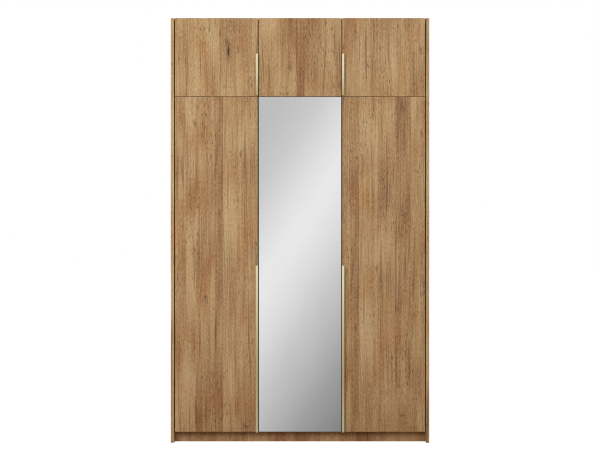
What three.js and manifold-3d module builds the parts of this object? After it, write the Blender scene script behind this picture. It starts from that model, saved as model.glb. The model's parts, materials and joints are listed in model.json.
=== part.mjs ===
// Wardrobe for hanging clothes and folded linen. A tall unit has three doors, the middle one
// covered by a mirror, and a separate low box with three short doors stands on top of it.
// Millimetres. X runs to the right for someone who faces the doors, Y runs to the back, Z runs up.
// The origin is on the floor, in the middle of the width and of the whole depth.

import * as THREE from 'three';
import { mergeVertices } from 'three/addons/utils/BufferGeometryUtils.js';
import Module from 'manifold-3d';

const wasm = await Module();
wasm.setup();

// Overall size
const overallWidth = 1400;
const overallDepth = 600;
const mainHeight = 1875;
const topBoxHeight = 425;

// Boards and sheets
const board = 18;
const hardboard = 3;
const mirrorDoorBoard = 16;
const mirrorGlass = 4;
const mirrorInset = 0.5;

// Doors and the gaps around them
const doorGap = 5;
const unitGap = 1;
const behindDoor = 2;
const plinthHeight = 60;
const plinthSetback = 50;

// Handle strip: a metal profile that wraps the door's free edge
const handleProjection = 20;
const handleWeb = 2;
const handleLip = 12;
const handleReturn = 8;
const handleFlange = 22;
const handleFlangeThickness = 1.5;
const tallHandleLength = 900;
const shortHandleLength = 225;
const shortHandleRise = 4;

// Concealed hinges
const hingeAxisInset = 6;
const hingeAxisDepth = 3;
const cupInset = 22.5;
const cupRadius = 17.5;
const cupDepth = 12.5;
const tallHingeEnd = 100;
const tallHingeCount = 4;
const shortHingeEnd = 90;
const shortHingeCount = 2;
const cupSegments = 40;
const armHalfHeight = 7.5;
const armRise = 14;
const armFoot = 22;
const armLength = 72;
const armShoulder = 30;
const armBevelWidth = 5;
const armBevelLength = 8;
const noseGap = 1;
const noseLength = 5;
const noseReach = 5;
const noseWidth = 14;
const neckReach = 1;
const neckLength = 12;
const wingHalfHeight = 26;
const wingThickness = 2.5;
const wingWidth = 16;
const wingCentre = 38;

// Shelves and hanging rail
const shelfFrontGap = 10;
const shelfRearGap = 2;
const hatShelfHeight = 1560;
const linenShelfHeights = [430, 807, 1183, hatShelfHeight];
const railBelowShelf = 45;
const railHeight = 30;
const railThickness = 15;
const railWall = 1.2;
const railSetback = 10;
const socketWall = 2.5;
const socketBase = 2;
const socketDepth = 12;
const slipClearance = 0.5;
const ovalSegments = 10;

// Push latches that open the two doors without handles
const latchWidth = 20;
const latchHeight = 14;
const latchLength = 78;
const latchFromDoorEdge = 34;
const plungerRadius = 4.7;
const plungerLength = 46;
const plungerBoreRadius = 5;
const plungerBoreDepth = 62;
const plungerTipGap = 0.3;
const plungerDome = 1.5;
const plungerSegments = 32;

// Planes and lines that follow from the sizes above
const totalHeight = mainHeight + topBoxHeight;
const sideOuter = overallWidth / 2;
const sideInner = sideOuter - board;
const doorWidth = (2 * sideInner - 4 * doorGap) / 3;
const rearFace = overallDepth / 2;
const boardRear = rearFace - hardboard;
const doorFront = -overallDepth / 2 + handleProjection;
const doorRear = doorFront + board;
const carcassFront = doorRear + behindDoor;
const middleDoorEdge = doorWidth / 2;
const partitionCentre = middleDoorEdge + doorGap / 2;
const partitionLeft = partitionCentre - board / 2;
const partitionRight = partitionCentre + board / 2;
const hingeAxisY = doorFront + hingeAxisDepth;

// Finishes. Every call makes a new material, so each piece has one of its own.
const oak = () => new THREE.MeshStandardMaterial({ color: 0xae8a63, roughness: 0.55, metalness: 0 });
const backSheet = () => new THREE.MeshStandardMaterial({ color: 0x9a7650, roughness: 0.8, metalness: 0 });
const silvered = () => new THREE.MeshStandardMaterial({ color: 0xe4e8e8, roughness: 0.03, metalness: 1 });
const brass = () => new THREE.MeshStandardMaterial({ color: 0xcfc09a, roughness: 0.35, metalness: 1 });
const nickel = () => new THREE.MeshStandardMaterial({ color: 0xb9bbbd, roughness: 0.3, metalness: 1 });
const chrome = () => new THREE.MeshStandardMaterial({ color: 0xd3d6d8, roughness: 0.12, metalness: 1 });
const greyPlastic = () => new THREE.MeshStandardMaterial({ color: 0x8d9092, roughness: 0.6, metalness: 0 });

// A mesh with its name and finish
function piece(name, geometry, material) {
  const mesh = new THREE.Mesh(geometry, material);
  mesh.name = name;
  return mesh;
}

// A board or sheet given by its low and high limits along each axis
function panel(name, [x0, x1], [y0, y1], [z0, z1], material = oak()) {
  const mesh = piece(name, new THREE.BoxGeometry(x1 - x0, y1 - y0, z1 - z0), material);
  mesh.position.set((x0 + x1) / 2, (y0 + y1) / 2, (z0 + z1) / 2);
  return mesh;
}

// Closed geometry as a solid that can be cut and joined
function solidOf(geometry) {
  const bare = geometry.index ? geometry.clone() : geometry;
  bare.deleteAttribute('normal');
  bare.deleteAttribute('uv');
  const merged = mergeVertices(bare, 1e-4);
  const mesh = new wasm.Mesh({
    numProp: 3,
    vertProperties: new Float32Array(merged.attributes.position.array),
    triVerts: new Uint32Array(merged.index.array),
  });
  return new wasm.Manifold(mesh);
}

// A solid back as drawable geometry
function geometryOf(solid) {
  const mesh = solid.getMesh();
  const geometry = new THREE.BufferGeometry();
  geometry.setAttribute('position', new THREE.BufferAttribute(mesh.vertProperties, 3));
  geometry.setIndex(new THREE.BufferAttribute(mesh.triVerts, 1));
  geometry.computeVertexNormals();
  return geometry;
}

// A straight-sided outline drawn in plan, pulled up from the floor plane
function planExtrusion(points, height) {
  const outline = new THREE.Shape(points.map(([x, y]) => new THREE.Vector2(x, y)));
  return new THREE.ExtrudeGeometry(outline, { depth: height, bevelEnabled: false });
}

// Heights of hinges spread evenly along a door
function hingeHeights(bottom, top, endDistance, count) {
  const step = (top - bottom - 2 * endDistance) / (count - 1);
  return Array.from({ length: count }, (_, index) => bottom + endDistance + index * step);
}

// The tall unit: sides down to the floor, bottom on a set-back plinth, and a nailed-on back in two
// sheets that meet on the partition
function mainUnit() {
  const unit = new THREE.Group();
  const floorTop = plinthHeight + board;
  const ceiling = mainHeight - board;
  const depth = [carcassFront, boardRear];
  const plinthFront = doorFront + plinthSetback;
  unit.add(
    panel('main_side_left', [-sideOuter, -sideInner], [doorFront, boardRear], [0, mainHeight]),
    panel('main_side_right', [sideInner, sideOuter], [doorFront, boardRear], [0, mainHeight]),
    panel('main_bottom', [-sideInner, sideInner], depth, [plinthHeight, floorTop]),
    panel('main_top', [-sideInner, sideInner], depth, [ceiling, mainHeight]),
    panel('main_partition', [partitionLeft, partitionRight], depth, [floorTop, ceiling]),
    panel('plinth_front', [-sideInner, sideInner], [plinthFront, plinthFront + board],
      [0, plinthHeight]),
    panel('plinth_rear', [-sideInner, sideInner], [boardRear - 2 * board, boardRear - board],
      [0, plinthHeight]),
  );
  const sheetEdge = sideOuter - unitGap;
  const sheetHeight = [plinthHeight + unitGap, mainHeight - unitGap];
  const sheetMeet = unitGap / 2;
  unit.add(
    panel('main_back_left', [-sheetEdge, partitionCentre - sheetMeet], [boardRear, rearFace],
      sheetHeight, backSheet()),
    panel('main_back_right', [partitionCentre + sheetMeet, sheetEdge], [boardRear, rearFace],
      sheetHeight, backSheet()),
  );
  return unit;
}

// The separate box on top, with the same division
function topBox() {
  const box = new THREE.Group();
  box.position.z = mainHeight;
  const depth = [carcassFront, boardRear];
  const inside = [board, topBoxHeight - board];
  const sheetEdge = sideOuter - unitGap;
  box.add(
    panel('top_box_side_left', [-sideOuter, -sideInner], [doorFront, boardRear], [0, topBoxHeight]),
    panel('top_box_side_right', [sideInner, sideOuter], [doorFront, boardRear], [0, topBoxHeight]),
    panel('top_box_bottom', [-sideInner, sideInner], depth, [0, board]),
    panel('top_box_lid', [-sideInner, sideInner], depth, [topBoxHeight - board, topBoxHeight]),
    panel('top_box_partition', [partitionLeft, partitionRight], depth, inside),
    panel('top_box_back', [-sheetEdge, sheetEdge], [boardRear, rearFace],
      [unitGap, topBoxHeight - unitGap], backSheet()),
  );
  return box;
}

// One hat shelf over the rail on the left, linen shelves in the narrow bay on the right
function shelves() {
  const set = new THREE.Group();
  const depth = [carcassFront + shelfFrontGap, boardRear - shelfRearGap];
  const hatBay = [-sideInner, partitionLeft];
  const linenBay = [partitionRight, sideInner];
  set.add(panel('hat_shelf', hatBay, depth, [hatShelfHeight, hatShelfHeight + board]));
  linenShelfHeights.forEach((height, index) => {
    set.add(panel(`linen_shelf_${index + 1}`, linenBay, depth, [height, height + board]));
  });
  return set;
}

// An upright oval with straight flanks, for the rail and its sockets
function ovalPath(Path, height, thickness) {
  const radius = thickness / 2;
  const flank = (height - thickness) / 2;
  const path = new Path();
  path.absarc(0, flank, radius, 0, Math.PI, false);
  path.absarc(0, -flank, radius, Math.PI, 2 * Math.PI, false);
  path.closePath();
  return path;
}

// An oval bar or tube that runs along X from the given start
function ovalAlongX(height, thickness, start, length, hole) {
  const outline = ovalPath(THREE.Shape, height, thickness);
  if (hole) {
    outline.holes.push(ovalPath(THREE.Path, hole.height, hole.thickness));
  }
  const geometry = new THREE.ExtrudeGeometry(outline, {
    depth: length,
    bevelEnabled: false,
    curveSegments: ovalSegments,
  });
  geometry.rotateX(Math.PI / 2);
  geometry.rotateZ(Math.PI / 2);
  geometry.translate(start, 0, 0);
  return geometry;
}

// The oval hanging rail and the two cups that hold its ends
function hangingRail() {
  const set = new THREE.Group();
  set.position.set(0, railSetback, hatShelfHeight - railBelowShelf);
  const tubeHole = { height: railHeight - 2 * railWall, thickness: railThickness - 2 * railWall };
  const railStart = -sideInner + socketBase + slipClearance;
  const railEnd = partitionLeft - socketBase - slipClearance;
  set.add(piece('hanging_rail',
    ovalAlongX(railHeight, railThickness, railStart, railEnd - railStart, tubeHole), chrome()));

  const mouth = {
    height: railHeight + 2 * slipClearance,
    thickness: railThickness + 2 * slipClearance,
  };
  const rim = {
    height: mouth.height + 2 * socketWall,
    thickness: mouth.thickness + 2 * socketWall,
  };
  const socket = (start, mouthStart) => {
    const outer = solidOf(ovalAlongX(rim.height, rim.thickness, start, socketDepth));
    const pocket = solidOf(ovalAlongX(mouth.height, mouth.thickness, mouthStart, socketDepth));
    return geometryOf(outer.subtract(pocket));
  };
  set.add(
    piece('rail_socket_left', socket(-sideInner, -sideInner + socketBase), chrome()),
    piece('rail_socket_right',
      socket(partitionLeft - socketDepth, partitionLeft - socketDepth - socketBase), chrome()),
  );
  return set;
}

// The arm of a concealed hinge with its winged mounting plate, as one body. Its origin is on the
// face that it is screwed to, level with the back of the closed door. inward is +1 or -1 along X.
// cupReach is the distance from that face to the centre of the cup in the door.
function hingeArm(name, inward, cupReach) {
  const noseOuter = cupReach + noseReach;
  const noseInner = noseOuter - noseWidth;
  const noseRear = noseGap + noseLength;
  const profile = [
    [0, armFoot],
    [0, armLength],
    [armRise - armBevelWidth, armLength],
    [armRise, armLength - armBevelLength],
    [armRise, armShoulder],
    [cupReach + neckReach, neckLength],
    [noseOuter, noseRear],
    [noseOuter, noseGap],
    [noseInner, noseGap],
    [noseInner, noseRear],
  ];
  const arm = planExtrusion(profile.map(([u, v]) => [u * inward, v]), 2 * armHalfHeight);
  arm.translate(0, 0, -armHalfHeight);
  const wings = new THREE.BoxGeometry(wingThickness, wingWidth, 2 * wingHalfHeight);
  wings.translate(inward * wingThickness / 2, wingCentre, 0);
  return piece(name, geometryOf(solidOf(arm).add(solidOf(wings))), nickel());
}

// A door leaf with the blind round bores for its hinge cups, placed from its hinge axis.
// side is -1 when the hinges are on the left edge and +1 when they are on the right.
function doorLeaf(name, side, thickness, height, cupHeights) {
  const centreX = side * (hingeAxisInset - doorWidth / 2);
  const rearY = doorRear - hingeAxisY;
  const leafBox = new THREE.BoxGeometry(doorWidth, thickness, height);
  leafBox.translate(centreX, rearY - thickness / 2, height / 2);
  let leaf = solidOf(leafBox);
  for (const cupHeight of cupHeights) {
    const bore = new THREE.CylinderGeometry(cupRadius, cupRadius, 2 * cupDepth, cupSegments);
    bore.translate(side * (hingeAxisInset - cupInset), rearY, cupHeight);
    leaf = leaf.subtract(solidOf(bore));
  }
  return piece(name, geometryOf(leaf), oak());
}

// A handle strip: a flange behind the door, a web across its free edge and a lip that stands off in
// front, turned back at its end, so that fingers reach in behind it
function handleStrip(name, side, length) {
  const edge = side * (hingeAxisInset - doorWidth);
  const outward = -side;
  const face = doorFront - hingeAxisY;
  const back = doorRear - hingeAxisY;
  const lipFront = face - handleProjection;
  const lipBack = lipFront + handleWeb;
  const lipEnd = handleWeb - handleLip;
  const returnBack = lipFront + handleReturn;
  const flangeBack = back + handleFlangeThickness;
  const flangeEnd = handleWeb - handleFlange;
  const profile = [
    [0, back],
    [0, lipBack],
    [lipEnd + handleWeb, lipBack],
    [lipEnd + handleWeb, returnBack],
    [lipEnd, returnBack],
    [lipEnd, lipFront],
    [handleWeb, lipFront],
    [handleWeb, flangeBack],
    [flangeEnd, flangeBack],
    [flangeEnd, back],
  ];
  const points = profile.map(([x, y]) => [edge + outward * x, y]);
  return piece(name, planExtrusion(points, length), brass());
}

// A surface-mounted push latch that hangs under a board, with its plunger pressed in by the door
function pushLatch(prefix, underside) {
  const set = new THREE.Group();
  const housingFront = carcassFront + behindDoor;
  set.position.set(-middleDoorEdge + latchFromDoorEdge, housingFront, underside - latchHeight / 2);
  const housing = new THREE.BoxGeometry(latchWidth, latchLength, latchHeight);
  housing.translate(0, latchLength / 2, 0);
  const boreLength = 2 * plungerBoreDepth;
  const radius = plungerBoreRadius;
  const bore = new THREE.CylinderGeometry(radius, radius, boreLength, plungerSegments);
  const housingBody = geometryOf(solidOf(housing).subtract(solidOf(bore)));
  set.add(piece(`${prefix}_latch_housing`, housingBody, greyPlastic()));

  const halfProfile = [
    [0, 0],
    [plungerRadius - plungerDome, 0],
    [plungerRadius, plungerDome],
    [plungerRadius, plungerLength],
    [0, plungerLength],
  ];
  const outline = halfProfile.map(([x, y]) => new THREE.Vector2(x, y));
  const plunger = new THREE.LatheGeometry(outline, plungerSegments);
  plunger.translate(0, doorRear + plungerTipGap - housingFront, 0);
  set.add(piece(`${prefix}_latch_plunger`, plunger, greyPlastic()));
  return set;
}

// A complete door: leaf, optional mirror and handle in a group at the hinge axis, and the arms on
// the face that carries them. name is the bay, such as 'left' or 'top_left'.
function door({ name, side, hingeEdge, armFace, bottom, top, heights, mirror, handle }) {
  const set = new THREE.Group();
  const swing = new THREE.Group();
  swing.position.set(hingeEdge - side * hingeAxisInset, hingeAxisY, bottom);
  const height = top - bottom;
  const thickness = mirror ? mirrorDoorBoard : board;
  swing.add(doorLeaf(`${name}_door`, side, thickness, height, heights.map((z) => z - bottom)));
  if (mirror) {
    const centreX = side * (hingeAxisInset - doorWidth / 2);
    const halfWidth = doorWidth / 2 - mirrorInset;
    const glassRear = doorRear - mirrorDoorBoard - hingeAxisY;
    swing.add(panel('mirror_glass', [centreX - halfWidth, centreX + halfWidth],
      [glassRear - mirrorGlass, glassRear], [mirrorInset, height - mirrorInset], silvered()));
  }
  if (handle) {
    const strip = handleStrip(`${name}_handle`, side, handle.length);
    strip.position.z = handle.rise;
    swing.add(strip);
  }
  set.add(swing);
  const cupCentre = hingeEdge - side * cupInset;
  heights.forEach((z, index) => {
    const arm = hingeArm(`${name}_hinge_arm_${index + 1}`, -side, Math.abs(cupCentre - armFace));
    arm.position.set(armFace, doorRear, z);
    set.add(arm);
  });
  return set;
}

// Three doors of one height, hinged on the left side, on the partition and on the right side
function doorRow(prefix, { bottom, top, heights, mirror, handle }) {
  const row = new THREE.Group();
  const common = { bottom, top, heights };
  const outerEdge = sideInner - doorGap;
  row.add(
    door({
      ...common,
      name: `${prefix}left`,
      side: -1,
      hingeEdge: -outerEdge,
      armFace: -sideInner,
      handle,
    }),
    door({
      ...common,
      name: `${prefix}middle`,
      side: 1,
      hingeEdge: middleDoorEdge,
      armFace: partitionLeft,
      mirror,
    }),
    door({
      ...common,
      name: `${prefix}right`,
      side: 1,
      hingeEdge: outerEdge,
      armFace: sideInner,
      handle,
    }),
  );
  return row;
}

const tallDoorBottom = plinthHeight;
const tallDoorTop = mainHeight - unitGap;
const shortDoorBottom = mainHeight + unitGap;
const shortDoorTop = totalHeight;

const wardrobe = new THREE.Group();
wardrobe.add(
  mainUnit(),
  topBox(),
  shelves(),
  hangingRail(),
  doorRow('', {
    bottom: tallDoorBottom,
    top: tallDoorTop,
    heights: hingeHeights(tallDoorBottom, tallDoorTop, tallHingeEnd, tallHingeCount),
    mirror: true,
    handle: { length: tallHandleLength, rise: 0 },
  }),
  doorRow('top_', {
    bottom: shortDoorBottom,
    top: shortDoorTop,
    heights: hingeHeights(shortDoorBottom, shortDoorTop, shortHingeEnd, shortHingeCount),
    mirror: false,
    handle: { length: shortHandleLength, rise: shortHandleRise },
  }),
  pushLatch('main', mainHeight - board),
  pushLatch('top', totalHeight - board),
);

export default wardrobe;
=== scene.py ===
"""The finished surfaces of a three-door wardrobe with a mirror door and a separate top box.
Metres. X runs to the right of someone who faces the doors, Y to the back, Z up."""

import json
import math
import random

import bmesh
import bpy
from mathutils import Matrix, Vector

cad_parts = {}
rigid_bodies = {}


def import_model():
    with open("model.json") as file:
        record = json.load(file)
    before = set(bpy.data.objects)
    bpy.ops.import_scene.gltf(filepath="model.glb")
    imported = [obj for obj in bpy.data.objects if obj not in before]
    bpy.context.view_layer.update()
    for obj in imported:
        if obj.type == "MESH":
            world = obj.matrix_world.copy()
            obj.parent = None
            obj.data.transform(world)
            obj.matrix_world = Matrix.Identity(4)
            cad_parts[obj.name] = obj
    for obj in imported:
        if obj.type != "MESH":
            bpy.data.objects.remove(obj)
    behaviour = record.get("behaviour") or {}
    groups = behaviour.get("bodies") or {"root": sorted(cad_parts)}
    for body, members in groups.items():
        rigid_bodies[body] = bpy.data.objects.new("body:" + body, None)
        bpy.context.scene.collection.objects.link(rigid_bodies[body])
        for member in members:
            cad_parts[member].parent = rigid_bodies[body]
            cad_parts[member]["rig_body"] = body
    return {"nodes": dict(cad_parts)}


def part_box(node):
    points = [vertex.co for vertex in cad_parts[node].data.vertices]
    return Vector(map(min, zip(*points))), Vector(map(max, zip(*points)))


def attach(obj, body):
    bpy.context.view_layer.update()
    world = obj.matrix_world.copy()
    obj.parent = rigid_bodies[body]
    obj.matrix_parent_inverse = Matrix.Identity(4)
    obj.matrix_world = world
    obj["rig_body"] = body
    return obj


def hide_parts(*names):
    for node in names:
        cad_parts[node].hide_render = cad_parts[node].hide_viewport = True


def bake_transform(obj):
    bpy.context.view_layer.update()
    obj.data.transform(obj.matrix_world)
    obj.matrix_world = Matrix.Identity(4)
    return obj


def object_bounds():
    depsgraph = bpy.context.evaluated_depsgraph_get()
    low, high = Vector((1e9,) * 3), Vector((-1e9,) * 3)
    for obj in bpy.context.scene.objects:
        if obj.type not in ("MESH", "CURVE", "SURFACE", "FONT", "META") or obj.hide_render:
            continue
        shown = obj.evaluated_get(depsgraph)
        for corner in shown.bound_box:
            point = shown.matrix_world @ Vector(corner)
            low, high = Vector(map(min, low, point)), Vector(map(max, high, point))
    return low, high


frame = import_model()
CAD_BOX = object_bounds()

MM = 0.001
X, Y, Z = 0, 1, 2
BAYS = ["left", "middle", "right"]
ALL_BAYS = BAYS + ["top_" + bay for bay in BAYS]

# Broken edges of the boards, the doors and the thin back sheets
BOARD_ARRIS = 0.6 * MM
DOOR_ARRIS = 1.2 * MM
SHEET_ARRIS = 0.3 * MM

# Mirror
MIRROR_BEVEL_WIDTH = 1.6 * MM
MIRROR_BEVEL_FALL = 0.7 * MM
MIRROR_ARRIS = 0.25 * MM

# Holes and pins of the linen shelves
PIN_HOLE_RADIUS = 2.5 * MM
PIN_HOLE_DEPTH = 9 * MM
PIN_PITCH = 32 * MM
PIN_ROWS_IN = 37 * MM
PIN_ROWS = (-2, -1, 0, 1, 2)
LINEN_SHELVES = [f"linen_shelf_{number}" for number in (1, 2, 3, 4)]

# Hinge cups, and how far the pin of the links lies past the middle of its cup and inside it
CUP_RADIUS = 17.5 * MM
CUP_DEPTH = 12.5 * MM
CUP_INSET = 22.5 * MM
LINK_PIN_PAST = 6.5 * MM
LINK_PIN_DEPTH = 7.6 * MM

# How far the cuts of a board's edges and of its far faces lie from the cut of its near face
END_CUT = 0.37
REVERSE_CUT = 1.13

# The view
CAMERA_DISTANCE = 7.0
VIEW_WIDTH = 3.2480
SENSOR_WIDTH = 36.0
VIEW_RISE = 0.0008
EDGE_SOFTNESS = 1.1

# The air's light on the wardrobe, and the key lamp
AIR_LIGHT = 0.54
KEY_PLACE = (-2.6, -6.0, 3.6)
KEY_TARGET = (0, 0, 1.2)
KEY_SIZE = 3.0
KEY_POWER = 185

# The floor: its paint and glow where it is seen, the light that it sends up close to the
# wardrobe, and the distances between which that light gives way to the air's
FLOOR_PAINT = 0.12
FLOOR_GLOW = 0.97
FLOOR_BOUNCE = (0.15, 0.055, 0.03)
FLOOR_SHADE_REACH = (0.85, 1.6)
FLOOR_HALF_WIDTH = 30

# Cards that only the mirror and the metal see: half width, low edge and high edge
CARD_DISTANCE = 9.3
CARD_SLOPE = 34
GRADED_CARD = (0.75, -1.9, 3.4)
METAL_CARD = (3.0, -3.0, 5.3)
METAL_CARD_BEHIND = 0.1
# Places along the graded card's slope, in metres as seen on the mirror, and the shade there
CARD_SHADES = [
    (-0.56, 0.545), (-0.47, 0.55), (-0.39, 0.585), (-0.29, 0.64), (-0.21, 0.72), (-0.12, 0.80),
    (-0.03, 0.86), (0.04, 0.85), (0.15, 0.77), (0.24, 0.68), (0.33, 0.59), (0.42, 0.52),
    (0.51, 0.44), (0.59, 0.365), (0.68, 0.31), (0.79, 0.24),
]
# Shades of the metal's card and of the room, each from the bottom to the top
METAL_SHADES = [
    (0.0, (0.24, 0.16, 0.04)), (0.265, (0.43, 0.31, 0.07)), (0.5, (0.62, 0.57, 0.43)),
    (0.72, (0.90, 0.98, 1.10)), (1.0, (1.0, 1.06, 1.18)),
]
ROOM_SHADES = [
    (0.0, (0.52, 0.51, 0.49)), (0.46, (0.62, 0.61, 0.59)), (0.54, (0.84, 0.84, 0.85)),
    (1.0, (1.0, 1.02, 1.06)),
]


# ---------------------------------------------------------------- shader nodes


def feed(tree, socket, value):
    """Joins a socket to another node's output, or sets it to a fixed value."""
    if isinstance(value, bpy.types.NodeSocket):
        tree.links.new(value, socket)
    else:
        socket.default_value = value


def add_node(tree, kind, inputs=None, **settings):
    made = tree.nodes.new(kind)
    for key, value in settings.items():
        setattr(made, key, value)
    for key, value in (inputs or {}).items():
        feed(tree, made.inputs[key], value)
    return made


def calculate(tree, operation, a, b=0.0):
    return add_node(tree, "ShaderNodeMath", {0: a, 1: b}, operation=operation).outputs[0]


def total(tree, *values):
    result = values[0]
    for value in values[1:]:
        result = calculate(tree, "ADD", result, value)
    return result


def centred(tree, value, weight):
    """A value that lies about 0.5, as a part to add: (value - 0.5) * weight."""
    made = add_node(tree, "ShaderNodeMath", {0: value, 1: weight, 2: -0.5 * weight},
                    operation="MULTIPLY_ADD")
    return made.outputs[0]


def stretched(tree, vector, scale, location=(0, 0, 0)):
    made = add_node(tree, "ShaderNodeMapping", {
        "Vector": vector, "Scale": scale, "Location": location})
    return made.outputs[0]


def noise(tree, vector, detail=2.0, roughness=0.5, distortion=0.0, dimensions="2D"):
    made = add_node(tree, "ShaderNodeTexNoise", {
        "Vector": vector, "Scale": 1.0, "Detail": detail, "Roughness": roughness,
        "Distortion": distortion}, noise_dimensions=dimensions)
    return made.outputs["Fac"]


def grain_noise(tree, vector, scale, shift=(0, 0), **settings):
    """Noise on the printed paper, with its scale across and along the grain."""
    return noise(tree, stretched(tree, vector, (*scale, 1), (*shift, 0)), **settings)


def solid_noise(tree, place, scale, **settings):
    """Noise through the solid. scale is one number for all directions, or three."""
    scales = scale if isinstance(scale, tuple) else (scale, scale, scale)
    return noise(tree, stretched(tree, place, scales), dimensions="3D", **settings)


def ramp(tree, value, stops, interpolation="LINEAR"):
    """A colour ramp. Each stop is a place and a grey level or a colour."""
    made = add_node(tree, "ShaderNodeValToRGB", {"Fac": value})
    band = made.color_ramp
    band.interpolation = interpolation
    while len(band.elements) > 1:
        band.elements.remove(band.elements[-1])
    for index, (place, level) in enumerate(stops):
        stop = band.elements[0] if index == 0 else band.elements.new(place)
        stop.position = place
        stop.color = (*level, 1) if isinstance(level, tuple) else (level, level, level, 1)
    return made.outputs["Color"]


def mixed(tree, factor, a, b, blend="MIX"):
    made = add_node(tree, "ShaderNodeMix", data_type="RGBA", blend_type=blend)
    feed(tree, made.inputs[0], factor)
    feed(tree, made.inputs[6], a)
    feed(tree, made.inputs[7], b)
    return made.outputs[2]


def spread(tree, value, low, high, to_low=0.0, to_high=1.0, smooth=False):
    """Maps a range of a value onto another range, held at both ends."""
    made = add_node(tree, "ShaderNodeMapRange", {
        "Value": value, "From Min": low, "From Max": high, "To Min": to_low, "To Max": to_high},
        interpolation_type="SMOOTHSTEP" if smooth else "LINEAR")
    return made.outputs["Result"]


def new_surface(name, roughness, metallic=0.0):
    """A material with one Principled shader. Returns the material, its tree and the shader."""
    material = bpy.data.materials.new(name)
    material.use_nodes = True
    tree = material.node_tree
    tree.nodes.clear()
    output = tree.nodes.new("ShaderNodeOutputMaterial")
    shader = tree.nodes.new("ShaderNodeBsdfPrincipled")
    tree.links.new(shader.outputs[0], output.inputs["Surface"])
    shader.inputs["Roughness"].default_value = roughness
    shader.inputs["Metallic"].default_value = metallic
    return material, tree, shader


def relief(tree, shader, height, depth, strength=1.0):
    made = add_node(tree, "ShaderNodeBump", {
        "Height": height, "Strength": strength, "Distance": depth})
    tree.links.new(made.outputs["Normal"], shader.inputs["Normal"])


def object_place(tree):
    return add_node(tree, "ShaderNodeTexCoord").outputs["Object"]


# ---------------------------------------------------------------- oak print

# The printed paper shows planks glued side by side. Each has a width in millimetres and a tone.
PALE, LIGHT, TAN, BROWN, DARK = 0.64, 0.57, 0.50, 0.42, 0.30
PLANKS = [
    (54, LIGHT), (54, PALE), (83, BROWN), (20, LIGHT), (43, DARK), (102, PALE), (92, TAN),
    (90, BROWN), (80, LIGHT), (69, TAN), (94, PALE), (73, LIGHT), (89, BROWN), (108, PALE),
    (100, TAN), (85, BROWN), (50, DARK), (96, TAN), (70, LIGHT), (52, TAN), (64, BROWN),
    (84, LIGHT), (58, TAN),
]
PRINT_WIDTH = sum(width for width, tone in PLANKS) * MM

# Where each door is cut from the print: the u of its left edge and a shift along the grain
DOOR_CROPS = {
    "left": (0.0, 0.0),
    "middle": (0.9, 3.3),
    "right": (0.17, 0.62),
    "top_left": (0.618, 0.0),
    "top_middle": (1.040, 0.0),
    "top_right": (1.30, 5.1),
}

# Knots on the print: place in u and v, and half the width and height of the dark eye
KNOTS = [((0.907, 2.123), 0.006, 0.028)]
# Groups of fine branching cracks on the print: place in u and v
CRACKS = [
    (0.130, 1.295), (0.164, 0.773), (0.157, 0.135), (0.496, 2.438), (0.498, 1.867),
    (0.500, 1.110), (0.496, 0.755), (0.903, 2.175), (1.026, 1.950), (1.374, 7.311),
    (1.448, 7.160),
]
CRACK_HALF_WIDTH, CRACK_HALF_HEIGHT = 0.017, 0.040

# Tones of the print from a dark fibre to a pale one, and the inks of its marks
OAK_TONES = [
    (0.10, (0.162, 0.070, 0.029)), (0.30, (0.295, 0.150, 0.065)), (0.45, (0.410, 0.233, 0.107)),
    (0.55, (0.480, 0.293, 0.138)), (0.70, (0.575, 0.384, 0.191)), (0.90, (0.675, 0.486, 0.263)),
]
RED_CAST = (1.0, 0.88, 0.79, 1)
MINERAL_INK = (0.165, 0.080, 0.038, 1)
PORE_INK = (0.080, 0.040, 0.021, 1)
PIN_KNOT_INK = (0.170, 0.075, 0.034, 1)
CRACK_INK = (0.085, 0.042, 0.024, 1)
KNOT_HALO_INK = (0.190, 0.088, 0.040, 1)
KNOT_EYE_INK = (0.050, 0.027, 0.018, 1)


def plank_stops():
    """Colour ramp stops for the planks: red holds the tone and green a number of its own."""
    stops, start = [], 0.0
    for index, (width, tone) in enumerate(PLANKS):
        stops.append((start, (tone, (0.37 * index) % 1.0, 0.0)))
        start += width * MM / PRINT_WIDTH
    return stops


def reach_from(tree, u, v, place, half_width, half_height):
    """Distance from a place on the print, 1 on an upright oval round it."""
    side = calculate(tree, "DIVIDE", calculate(tree, "SUBTRACT", u, place[0]), half_width)
    rise = calculate(tree, "DIVIDE", calculate(tree, "SUBTRACT", v, place[1]), half_height)
    oval = add_node(tree, "ShaderNodeCombineXYZ", {0: side, 1: rise}).outputs[0]
    return add_node(tree, "ShaderNodeVectorMath", {0: oval}, operation="LENGTH").outputs["Value"]


def spots(tree, vector, scale, shift, share):
    """Scattered cells. Returns the distance from each cell's middle, pushed far away in the cells
    that are left empty. share is the part of them that is used."""
    cells = add_node(tree, "ShaderNodeTexVoronoi", {
        "Vector": stretched(tree, vector, (*scale, 1), (*shift, 0)), "Scale": 1.0,
        "Randomness": 1.0}, voronoi_dimensions="2D")
    lot = add_node(tree, "ShaderNodeSeparateColor", {0: cells.outputs["Color"]}).outputs[0]
    unused = calculate(tree, "GREATER_THAN", lot, share)
    return calculate(tree, "ADD", cells.outputs["Distance"], unused)


def turn_of_print(tree, grain, u):
    """How far across the print a point lies, from 0 to 1. Planks meet along frayed lines."""
    frayed = grain_noise(tree, grain, (90.0, 9.0))
    shifted = calculate(tree, "ADD", u, centred(tree, frayed, 0.006))
    return calculate(tree, "FRACT", calculate(tree, "DIVIDE", shifted, PRINT_WIDTH))


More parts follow.
